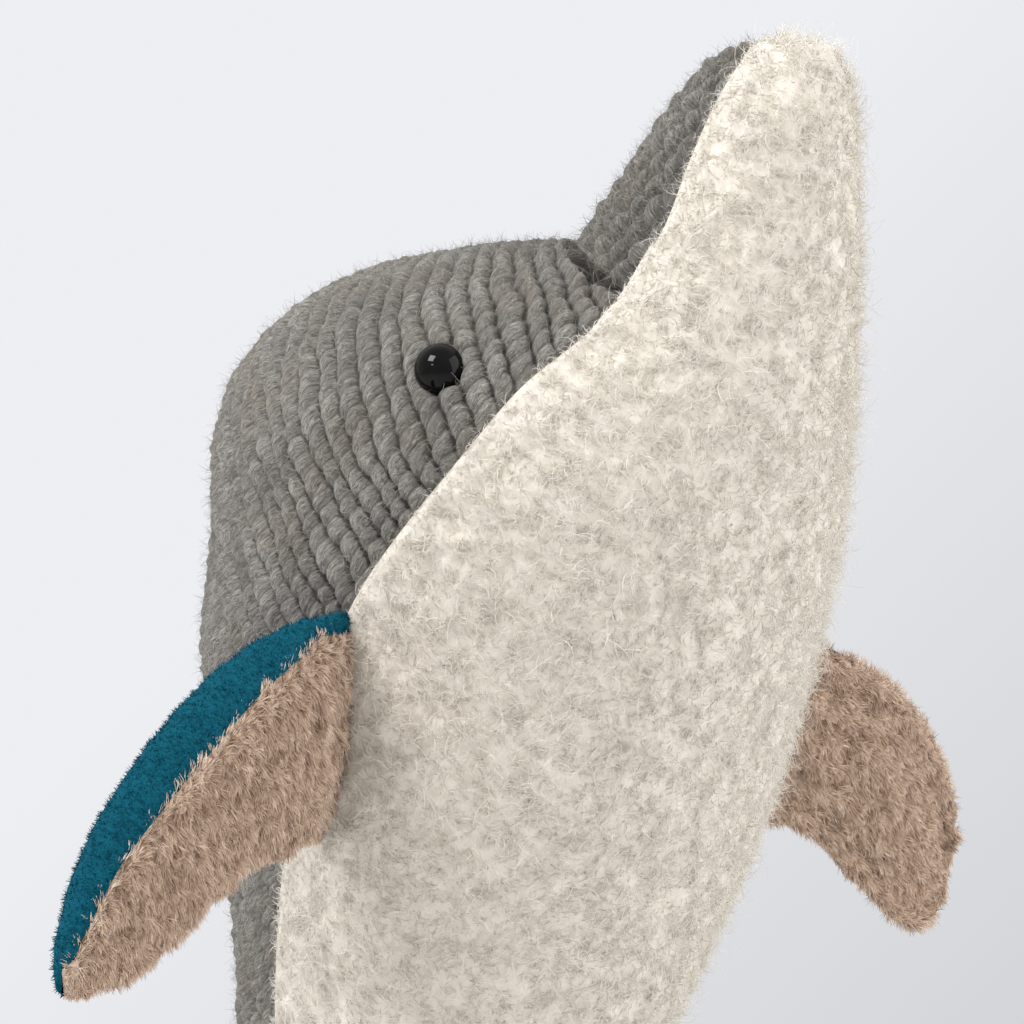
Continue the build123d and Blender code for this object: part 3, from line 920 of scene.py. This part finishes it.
def build_back():
    """The two grey knitted halves of the back and head."""
    coarse = tail_end(mend(half_skin(back_stations(), False, 31)))
    fine = finer(relax(coarse, 2), FINE)
    around, up = knit_coordinates(fine)
    climb = up - RIB_TURN * np.maximum(up - RIB_TURN_LEVEL, 0)
    rib = (around * math.cos(RIB_SLOPE) - climb * math.sin(RIB_SLOPE)) / RIB_PITCH
    rib = rib + 0.10 * lumps(fine, 0.02, 11)
    lobe = (around * math.sin(RIB_SLOPE) + up * math.cos(RIB_SLOPE)) / LOBE_PITCH
    lobe = lobe + 0.14 * lumps(fine, 0.016, 12)
    final = knit_skin(fine, rib, lobe)
    # painted shade: next to the brow crease the rib value is rounded, so the wool's colour there gets the
    # groove's painted darkening
    rib_with_painted_brow_shade = np.where(distances_back(fine, 0) < BROW_PAINTED_SHADE, np.round(rib), rib)
    values = {"rib": framed(rib_with_painted_brow_shade, (0, 1), (1, 0)), "lobe": framed(lobe, (0, 1), (1, 0))}
    for side, word, grid in ((1, "left", final), (-1, "right", final * MIRROR)):
        nodes = ["back_panel_" + word, "tail_panel_" + word]
        make_skin("grey_back_" + word, grid, side, KNIT, nodes, follow_tail, values)
        skins[word] = grid[:-1, 1:]


def beak_tip():
    """The very tip of the beak, where the grey and the white skins both end."""
    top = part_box("belly_panel")[1][2] - TIP_FIBRES
    middle, _ = skin_shell.middle((0, 0, top - TIP_CAP), LEVEL)
    return np.array([0.0, middle[1], top])


def build_beak():
    """The grey knitted strip along the top of the beak."""
    coarse = half_skin(beak_stations(), False, 15)
    fine = finer(np.concatenate([coarse, np.full((1, 15, 3), beak_tip())]), FINE)
    full = np.concatenate([fine, (fine * MIRROR)[:, -2::-1]], axis=1)
    normals = normals_of(full)
    up = distances(full, 0)
    across = distances(full, 1)
    across = across - across[:, across.shape[1] // 2][:, None]
    rib = across / BEAK_RIB_PITCH + 0.5 + 0.10 * lumps(full, 0.016, 21)
    lobe = up / BEAK_LOBE_PITCH + 0.12 * lumps(full, 0.016, 22)
    height = rib_height(rib, lobe, BEAK_RIB_HEIGHT, BEAK_LOBE_HEIGHT)
    height += 0.0003 * lumps(full, 0.008, 23)
    edge = smooth_step(from_edges(full), 0.0, SEAM_EDGE)
    rise = KNIT_TOP - BEAK_RIB_HEIGHT - BEAK_LOBE_HEIGHT + height - BEAK_INSET
    rise = rise * edge - BEAK_SEAM_DIP * (1 - edge) - BEAK_FOLD * (1 - smooth_step(up, 0.0, BROW_WIDTH))
    rise *= smooth_step(distances_back(full, 0), 0.0, 0.004)
    first, last = flange(full, normals), flange(full[:, ::-1], normals[:, ::-1])
    body = full + normals * rise[..., None]
    final = np.concatenate([first[:, None], body, last[:, None]], axis=1)
    tuck = tucked_row(final, framed(normals, (0, 0), (1, 1)), 0, 3)
    final = np.concatenate([tuck[None], final])
    # painted shade: next to the brow crease the rib value is rounded, so the wool's colour there gets the
    # groove's painted darkening
    rib = np.where(up < BROW_PAINTED_SHADE, np.round(rib), rib)
    values = {"rib": framed(rib, (1, 0), (1, 1)), "lobe": framed(lobe, (1, 0), (1, 1))}
    nodes = [BROW_NODE, "body_stuffing", "tail_stuffing", "weight_bag", "eye_washer_left", "eye_washer_right"]
    make_skin("grey_beak_top", final, 1, SHADED_BEAK_KNIT, nodes, riding("body"), values)
    skins["beak"] = body


def build_belly():
    """The cream belly, throat and chin: the backing under its curly pile."""
    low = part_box("tail_belly_panel")[0][2] + TAIL_CUT
    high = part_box("belly_panel")[1][2] - TIP_FIBRES - TIP_CAP
    count = round((high - low) / COARSE) + 1
    coarse = half_skin(level_stations(np.linspace(low, high, count)), True, 25)
    coarse = relax(tail_end(mend(coarse)), 2)
    fine = finer(np.concatenate([coarse, np.full((1, 25, 3), beak_tip())]), WHITE_FINE)
    full = np.concatenate([(fine * MIRROR)[:, :0:-1], fine], axis=1)
    from_seam = from_edges(full)
    pile = smooth_step(from_seam, 0.0, FELT_WIDTH)
    edge = smooth_step(from_seam, 0.0, SEAM_EDGE)
    rise = -(FELT_DEPTH + (PILE_DEPTH - FELT_DEPTH) * pile) - WHITE_DIP * (1 - edge)
    rise += pile * (0.00045 * lumps(full, 0.0095, 31) + 0.0003 * lumps(full, 0.0045, 32))
    rise *= smooth_step(distances_back(full, 0), 0.0, 0.006)
    final = full + normals_of(full) * rise[..., None]
    make_skin("cream_belly", final, 1, WHITE_BACKING, WHITE_NODES, follow_tail)
    skins["belly"] = final
    skins["belly_pile"] = pile


# ---- fins --------------------------------------------------------------------------
def fin_rings(shell, axis, stations, front):
    """Closed rings round a fin, from its trailing edge over the front and the leading edge."""
    rings = []
    for station in stations:
        low, high = shell.slice_box(axis, station)
        middle = (low + high) / 2
        half_front = np.abs((high - low) @ front) / 2
        half_up = np.abs((high - low) @ UP) / 2
        ring = []
        for turn in FIN_TURNS:
            direction = front * half_front * math.cos(turn) + UP * half_up * math.sin(turn)
            place, _ = shell.outermost(middle, direction)
            ring.append(middle + direction if place is None else place)
        rings.append(ring)
    return np.array(rings)


def fin_grid(rings, root, chord, front, span, half_chord):
    """A fin's rings, with a rounded root that turns inside the body's fabric, and a closed tip."""
    inward = unit(np.cross(chord, front))
    inward = inward * -np.sign(inward @ span)
    roots = [
        root
        + inward * depth * ROOT_HALF_THICK
        + front * ROOT_HALF_THICK * size * np.cos(FIN_TURNS[:, None])
        + chord * half_chord * tall * np.sin(FIN_TURNS[:, None])
        for depth, size, tall in ((1.0, 0.12, 0.90), (0.8, 0.62, 0.96), (0.3, 0.95, 0.99))
    ]
    cap = rings[-1:].mean(axis=1, keepdims=True).repeat(FIN_COLUMNS, axis=1) + span * CAP_REACH
    return np.concatenate([roots, rings, cap])


def seam_columns(grid, seam_turns, trail_turns, columns_front, columns_back):
    """Splits closed rings at the seams: the front sheet, then the back sheet."""
    front_rows, back_rows = [], []
    for ring, seam, trail in zip(grid, seam_turns, trail_turns):
        for rows, first, last, count in (
            (front_rows, trail, seam, columns_front),
            (back_rows, seam, trail + 2 * math.pi, columns_back),
        ):
            where = np.linspace(first, last, count)
            rows.append(np.stack(
                [np.interp(where, FIN_TURNS[:-1], ring[:-1, k], period=2 * math.pi) for k in range(3)],
                axis=1,
            ))
    return np.array(front_rows), np.array(back_rows)


def outward_flip(grid, normals, centre_line):
    """1 where normals point away from the middle of their own station, or else -1."""
    return np.sign(np.sum((grid - centre_line[:, None]) * normals))


def fin_sheet(
    name, coarse, centre_line, material, groove, relief, seed, fill_in, nodes, follow, cup=0.0,
):
    """One sheet of a fin as a fine mesh; returns its grid and its outward normals."""
    grid = finer(coarse, FIN_FINE)
    middles = refine(centre_line[:, None], len(grid), 0)[:, 0]
    normals = normals_of(grid)
    flip = outward_flip(grid, normals, middles)
    normals = normals * flip
    near = from_edges(grid)
    from_root = distances(grid, 0)
    past_root = 0.3 + 0.7 * smooth_step(from_root, 0.010, 0.035)
    past_neck = smooth_step(from_root, 0.020, 0.055)
    rise = -groove * (1 - smooth_step(near, 0, 0.004))
    rise = rise - fill_in * past_root * smooth_step(near, 0.0, 0.005)
    rise = rise - cup * past_neck * smooth_step(near, 0.008, 0.024)
    rise = rise + relief * lumps(grid, 0.0032, seed) + relief * 2 * lumps(grid, 0.016, seed + 1)
    rise = rise * smooth_step(distances_back(grid, 0), 0.0005, 0.006)
    final = grid + normals * rise[..., None]
    make_skin(name, final, flip, material, nodes, follow)
    normals = normals_of(final)
    return final, normals * outward_flip(final, normals, middles)


def build_flipper(word, side, cup, seam_shape, trail, trims):
    """One flipper: teal sheet over its leading edge, tan sheet below, sewn together.

    cup hollows the tan side; trail is the trailing seam's place in degrees; trims are taken off the
    top, the foot and the tip.
    """
    body = "flipper_" + word
    nodes = [body + "_under", body + "_top"]
    shell = Shell(nodes)
    joint = joint_point(body + "_flap")
    span = np.array([side, 0.0, 0.0])
    front = np.array([0.0, -1.0, 0.0])
    top, foot = (
        skin_shell.outermost((0.0, depth, level), span)[0]
        for depth, level in (FLIPPER_ROOT_TOP, FLIPPER_ROOT_FOOT)
    )
    root = (top + foot) / 2
    chord = unit(top - foot)
    half_chord = np.linalg.norm(top - foot) / 2
    low, high = shell_box(nodes)
    tip = high[0] if side > 0 else low[0]
    trim_top, trim_foot, trim_tip = trims
    stations = np.linspace(joint[0] + side * NECK_LENGTH, tip - side * trim_tip, 24)
    rings = fin_rings(shell, 0, stations, front)
    rise = np.sin(FIN_TURNS)
    rings = rings - (np.maximum(rise, 0) * trim_top + np.minimum(rise, 0) * trim_foot)[None, :, None] * UP
    grid = fin_grid(rings, root, chord, unit(front - chord * (front @ chord)), span, half_chord)
    middles = grid.mean(axis=1)
    share = np.linspace(0, 1, len(grid))
    seam_turns = np.radians(np.interp(share, SEAM_PLACES, seam_shape))
    trail_turns = np.radians(np.interp(share, TRAIL_PLACES, (-90, trail)))
    tan_coarse, teal_coarse = seam_columns(grid, seam_turns, trail_turns, 27, 33)
    follow = bending()
    teal, teal_out = fin_sheet(
        body + "_teal", teal_coarse, middles, VELVET, 0.0014, 0.00012, 41, TEAL_DEPTH,
        [body + "_top", body + "_stuffing"], follow)
    tan, tan_out = fin_sheet(
        body + "_tan", tan_coarse, middles, TAN_BACKING, 0.0022, 0.0004, 43, TAN_DEPTH,
        [body + "_under"], follow, cup)
    velvet_fur(body + "_velvet", teal, teal_out, TEAL_HAIRS, 51, follow)
    tan_fur(body + "_pile", tan, tan_out, TAN_HAIRS, 53, follow)


def shell_box(names):
    """Lowest and highest corner of several nodes together."""
    boxes = [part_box(name) for name in names]
    low = np.min([np.array(box[0]) for box in boxes], axis=0)
    high = np.max([np.array(box[1]) for box in boxes], axis=0)
    return low, high


def build_dorsal_fin():
    """The dorsal fin: a teal sheet on each side, sewn along its edge."""
    nodes = ["dorsal_fin_left", "dorsal_fin_right"]
    joint = joint_point("dorsal_fin_flop")
    axis = unit(np.array(JOINTS["dorsal_fin_flop"]["axis"], float))
    chord = axis * np.sign(axis[2])
    front = np.array([1.0, 0.0, 0.0])
    stations = np.linspace(joint[1] + 0.0045, shell_box(nodes)[1][1] - 0.001, 16)
    rings = fin_rings(Shell(nodes), 1, stations, front)
    grid = fin_grid(rings, joint, chord, front, np.array([0.0, 1.0, 0.0]), DORSAL_ROOT_HALF)
    seam_turns = np.full(len(grid), math.pi / 2)
    sheets = seam_columns(grid, seam_turns, -seam_turns, 30, 30)
    follow = bending()
    for name, coarse, seed, stuffing in (
        (nodes[0], sheets[0], 61, ["dorsal_fin_stuffing"]),
        (nodes[1], sheets[1], 65, []),
    ):
        final, out = fin_sheet(
            name + "_velvet_sheet", coarse, grid.mean(axis=1), VELVET, 0.0018, 0.00012, seed, TEAL_DEPTH,
            [name] + stuffing, follow)
        velvet_fur(name + "_velvet", final, out, TEAL_HAIRS // 3, seed + 2, follow)


def fluke_grid(upper):
    """One face of the flukes from the middle outwards, round the outline and back."""
    nodes = ["flukes_under", "flukes_top"]
    shell = Shell(nodes)
    low, high = shell_box(nodes)
    centre = np.array([0.0, (low[1] + high[1]) / 2 - 0.02, (low[2] + high[2]) / 2])
    half = (high[2] - low[2]) / 2 - FLUKE_FLOOR_GAP
    outline = np.array([
        shell.outermost(centre, (math.sin(turn), -math.cos(turn), 0.0))[0]
        for turn in np.linspace(-math.pi, math.pi, 181)
    ])
    outline[-1] = outline[0]
    rows = []
    for share in np.sin(np.linspace(0.0, math.pi / 2, 44)) ** 0.9:
        row = centre + (outline - centre) * share
        row[:, 2] = centre[2] + (half if upper else -half) * max(1 - share ** 4, 0.0) ** 0.5
        rows.append(row)
    return np.array(rows), centre


def build_flukes():
    """The flukes: tan face up, teal face on the floor while they are folded."""
    follow = riding("flukes")
    for word, nodes, material, slot_name, upper in (
        ("tan", ["flukes_under", "flukes_stuffing"], TAN_BACKING, "tan_plush", True),
        ("teal", ["flukes_top"], VELVET, "teal_velvet", False),
    ):
        coarse, centre = fluke_grid(upper)
        grid = refine(refine(coarse, 90, 0), 540, 1)
        normals = normals_of(grid)
        flip = np.sign(np.sum(normals[..., 2])) * (1 if upper else -1)
        normals = normals * flip
        reach = np.linalg.norm(grid - centre, axis=-1) / np.linalg.norm(grid[-1] - centre, axis=-1)
        rise = -0.0009 * smooth_step(reach, 0.9, 1.0)
        if upper:
            rise = rise - 0.0018 * (1 - smooth_step(reach, 0.93, 1.0))
            rise = rise + 0.0005 * lumps(grid, 0.005, 71) + 0.0008 * lumps(grid, 0.03, 72)
            rise = rise - FLUKE_CREASE * np.exp(-(grid[..., 0] / FLUKE_CREASE_WIDTH) ** 2)
        final = grid + normals * rise[..., None]
        final[..., 2] = np.maximum(final[..., 2], FLUKE_FLOOR_GAP)
        make_skin("flukes_" + word, final, flip, material, nodes, follow)
        out = normals_of(final) * flip
        if upper:
            tan_fur("flukes_pile", final, out, FLUKE_HAIRS, 73, follow)
        else:
            edge = slice(60, -4)
            velvet_fur("flukes_velvet", final[edge], out[edge], TEAL_HAIRS // 2, 77, follow)


def paint_eyes():
    """The CAD eyes stay as they are, in their own black."""
    for word in ("left", "right"):
        eye = frame["nodes"]["eye_" + word]
        eye.data.materials.clear()
        eye.data.materials.append(EYE)


# ---- fibres ------------------------------------------------------------------------
def flow(places, size, seed):
    """A smooth random direction field, so that neighbouring fibres lean together."""
    return np.stack([lumps(places, size, seed + number) for number in range(3)], axis=-1)


def across_surface(vectors, normals):
    """The part of each vector that lies along the surface."""
    return vectors - normals * np.sum(vectors * normals, axis=-1, keepdims=True)


def above_floor(grid):
    """Where pile may grow: nowhere that rests on the floor."""
    return np.where(grid[..., 2] > PILE_CLEAR, 1.0, 0.0)


def velvet_fur(name, grid, normals, count, seed, follow):
    """Very short upright teal pile."""
    rng = np.random.default_rng(seed)
    spots = scatter(grid, normals, count, rng, above_floor(grid))
    lean = flow(spots["place"], 0.004, seed + 5)
    starts = spots["normal"] + across_surface(lean, spots["normal"]) * 0.75
    fibres(
        name, spots, starts, rng.normal(size=(count, 3)), rng.uniform(-0.5, 0.5, count),
        rng.uniform(0.0011, 0.0019, count), rng.uniform(0.00022, 0.00034, count), 2, TEAL,
        rng.choice(3, count, p=(0.5, 0.3, 0.2)), follow, 0.0002,
    )


def tan_fur(name, grid, normals, count, seed, follow):
    """Soft tan pile, combed downwards in small tufts, and up over the seam beside the teal."""
    rng = np.random.default_rng(seed)
    spots = scatter(grid, normals, count, rng, above_floor(grid))
    place, normal = spots["place"], spots["normal"]
    row, column = spots["row"], spots["column"]
    to_trail, to_seam = (np.linalg.norm(grid[row, edge] - grid[row, column], axis=1) for edge in (0, -1))
    at_trail, at_seam = (1 - smooth_step(away, 0.001, 0.010) for away in (to_trail, to_seam))
    share = at_seam[:, None]
    lean = flow(place, 0.0065, seed + 5)
    fine = flow(place, 0.0028, seed + 9)
    downwards = np.array([0, 0, -0.75])
    combed = across_surface(spots["along"] * 0.15 + downwards + lean * 0.38 + fine * 0.2, normal)
    over = spots["across"] * 0.85 + across_surface(lean * 0.6, normal)
    starts = normal * 0.8 + combed * (1 - share) + over * share
    starts = starts + rng.normal(size=(count, 3)) * 0.08
    # painted shade: where the elongated lumps are low the fibres take the darker shades, as in the pile's
    # small creases; where they are high, the lighter ones
    painted_crease_shade = lumps(place * np.array([1.0, 1.0, 0.45]), 0.0032, seed + 15)
    tone = painted_crease_shade * 0.9 + rng.normal(size=count) * 0.5 + at_seam * 0.6
    shades = np.select([tone > 0.8, tone > -0.2, tone > -1.2], [2, 0, 1], 3)
    lengths = rng.uniform(0.0036, 0.0054, count) * (1 - 0.45 * at_trail) * (1 - 0.12 * at_seam)
    axes = np.cross(normal, starts) + rng.normal(size=(count, 3)) * 0.1
    fibres(
        name, spots, starts, axes, rng.uniform(0.2, 0.9, count), lengths,
        rng.uniform(0.00030, 0.00048, count), 2, TAN, shades, follow,
    )


def cream_fur():
    """The curly cream pile: a matted layer, longer bright curls, stray hairs, and felt by the seam."""
    grid = skins["belly"]
    normals = normals_of(grid)
    normals = normals * np.sign(np.sum(normals[..., 1] * -1))
    pile = skins["belly_pile"]
    # name, count, segments, shades, where, lift, turns, lengths, widths, seed
    layers = (
        ("cream_curl", CURLS, 3, CREAM, 1.9 - pile, 0.17, (1.0, 3.2), (0.0045, 0.0090),
         (0.00026, 0.00048), 101),
        ("bright_curl", LONG_CURLS, 6, BRIGHT_CREAM, pile, 0.40, (1.2, 4.0), (0.009, 0.016),
         (0.00014, 0.00028), 103),
        ("stray_hair", STRAYS, 6, BRIGHT_CREAM, pile, 1.4, (0.8, 3.0), (0.008, 0.015),
         (0.00006, 0.0001), 105),
        ("felt_hair", FELT_HAIRS, 3, CREAM, (1 - pile) ** 3, 0.5, (0.4, 2.4), (0.0018, 0.0038),
         (0.00014, 0.00030), 107),
    )
    for name, count, segments, materials, weight, lift, turn, length, width, seed in layers:
        rng = np.random.default_rng(seed)
        spots = scatter(grid, normals, count, rng, weight + 0.02)
        normal = spots["normal"]
        lean = flow(spots["place"], 0.009, seed + 20) * 0.7 + rng.normal(size=(count, 3)) * 0.6
        droop = np.array([0, 0, -0.22])
        starts = normal * lift + across_surface(unit(lean) + droop, normal)
        fullness = 0.45 + 0.55 * pile[spots["row"], spots["column"]]
        signs = rng.choice((-1, 1), count)
        turns = rng.uniform(*turn, count) * signs
        axes = normal + rng.normal(size=(count, 3)) * 0.35
        shades = rng.integers(0, len(materials), count)
        fibres(
            name, spots, starts, axes, turns, rng.uniform(*length, count) * fullness,
            rng.uniform(*width, count), segments, materials, shades, follow_tail,
        )


def wool_fur():
    """Fine loose fibres on the grey knit."""
    for word, share, follow in (
        ("left", 0.43, follow_tail), ("right", 0.43, follow_tail), ("beak", 0.14, riding("body")),
    ):
        rng = np.random.default_rng(200 + len(word))
        grid = skins[word]
        normals = normals_of(grid)
        middle = grid.mean(axis=(0, 1)) * np.array([0, 1, 1])
        normals = normals * np.sign(np.sum((grid - middle) * normals))
        count = int(WOOL_HAIRS * share)
        spots = scatter(grid, normals, count, rng)
        normal = spots["normal"]
        swirl = spots["along"] * rng.uniform(-0.9, 0.9, (count, 1))
        swirl = swirl + spots["across"] * rng.choice((-1, 1), (count, 1))
        starts = normal * rng.uniform(0.08, 0.45, (count, 1)) + swirl
        fibres(
            "wool_hair_" + word, spots, starts, normal + rng.normal(size=(count, 3)) * 0.5,
            rng.uniform(-2.2, 2.2, count), rng.uniform(0.0026, 0.0060, count),
            rng.uniform(0.00008, 0.00016, count), 3, WOOL, rng.integers(0, 4, count), follow,
            0.0001,
        )


# ---- stage -------------------------------------------------------------------------
def build_camera():
    """The camera, at the product picture's viewing angle."""
    data = bpy.data.cameras.new("camera")
    data.lens = LENS
    data.sensor_width = SENSOR
    data.clip_end = 100
    camera = bpy.data.objects.new("camera", data)
    bpy.context.scene.collection.objects.link(camera)
    back = Vector((math.sin(VIEW_AZIMUTH), -math.cos(VIEW_AZIMUTH), 0))
    right = Vector((math.cos(VIEW_AZIMUTH), math.sin(VIEW_AZIMUTH), 0))
    camera.location = back * CAMERA_DISTANCE + Vector((0, 0, CAMERA_HEIGHT))
    aim = Vector((0, 0, AIM_HEIGHT)) - right * AIM_LEFT
    camera.rotation_mode = "QUATERNION"
    camera.rotation_quaternion = (aim - camera.location).to_track_quat("-Z", "Y")
    bpy.context.scene.camera = camera


def build_floor():
    """A very wide pale floor that fades into the background far away."""
    paint = Paint("pale_floor", roughness=0.9, specular=0.1)
    paint.colour(rgb(0.80, 0.80, 0.81))
    away = paint.node("VectorMath", (paint.place(),), "Value", operation="LENGTH")
    clear = paint.node("BsdfTransparent")
    shown = paint.node("MixShader", (paint.ramp(away, 0.7, 3.2), paint.shader.outputs[0], clear))
    paint.put(paint.tree.nodes["Material Output"].inputs["Surface"], shown)
    bpy.ops.mesh.primitive_circle_add(vertices=96, radius=3.4, fill_type="NGON", location=(0, 0, -0.0005))
    floor = bpy.context.active_object
    floor.name = "floor"
    floor.data.materials.append(paint.material)


def area_light(name, azimuth, elevation, distance, size, power):
    """A square soft light that looks at the middle of the toy."""
    data = bpy.data.lights.new(name, "AREA")
    data.shape = "SQUARE"
    data.size = size
    data.energy = power
    light = bpy.data.objects.new(name, data)
    a, e = math.radians(azimuth), math.radians(elevation)
    back = Vector((math.sin(a) * math.cos(e), -math.cos(a) * math.cos(e), math.sin(e)))
    light.location = (CAD_BOX[0] + CAD_BOX[1]) / 2 + back * distance
    light.rotation_mode = "QUATERNION"
    light.rotation_quaternion = back.to_track_quat("Z", "Y")
    bpy.context.scene.collection.objects.link(light)


def build_world():
    """A bright pale room: a backdrop behind the toy, seen only by the camera and painted lighter towards the
    upper left and darker towards the lower right as light falls off across it; a soft sky to light it.
    """
    world = bpy.data.worlds.new("studio")
    world.use_nodes = True
    bpy.context.scene.world = world
    world.node_tree.nodes.clear()
    nodes = Nodes(world.node_tree)
    way = nodes.node("TexCoord", output="Generated")
    slant = (-math.cos(VIEW_AZIMUTH), -math.sin(VIEW_AZIMUTH), 1.0)
    across = nodes.node("VectorMath", (way, slant), "Value", operation="DOT_PRODUCT")
    up = nodes.node("SeparateXYZ", (way,), "Z")
    # painted light: the backdrop the camera sees fades from lighter at the upper left of the view to darker
    # at the lower right
    backdrop_painted_falloff = nodes.mix(
        nodes.ramp(across, -0.17, 0.04, "LINEAR"), rgb(0.617, 0.624, 0.640), rgb(0.850, 0.860, 0.895))
    sky = nodes.mix(nodes.ramp(up, -0.8, 0.9, "LINEAR"), rgb(0.84, 0.81, 0.78), rgb(0.98, 0.99, 1.0))
    lit = nodes.node("Background", (sky, 0.72))
    seen = nodes.node("Background", (backdrop_painted_falloff,))
    shown = nodes.node("MixShader", (nodes.node("LightPath", output="Is Camera Ray"), lit, seen))
    output = world.node_tree.nodes.new("ShaderNodeOutputWorld")
    nodes.put(output.inputs["Surface"], shown)
    bpy.context.scene.view_settings.view_transform = "Standard"
    bpy.context.scene.view_settings.look = "None"


build_camera()
build_world()
build_floor()
area_light("key", azimuth=-105, elevation=48, distance=1.6, size=0.6, power=19)
area_light("fill", azimuth=22, elevation=20, distance=2.2, size=2.4, power=33)
build_back()
build_beak()
build_belly()
build_flipper("left", 1, cup=0.0075, seam_shape=LEFT_SEAM, trail=-130, trims=(0.0, -0.0035, 0.0004))
build_flipper("right", -1, cup=0.001, seam_shape=RIGHT_SEAM, trail=-118, trims=(0.001, 0.003, 0.0028))
build_dorsal_fin()
build_flukes()
cream_fur()
wool_fur()
paint_eyes()
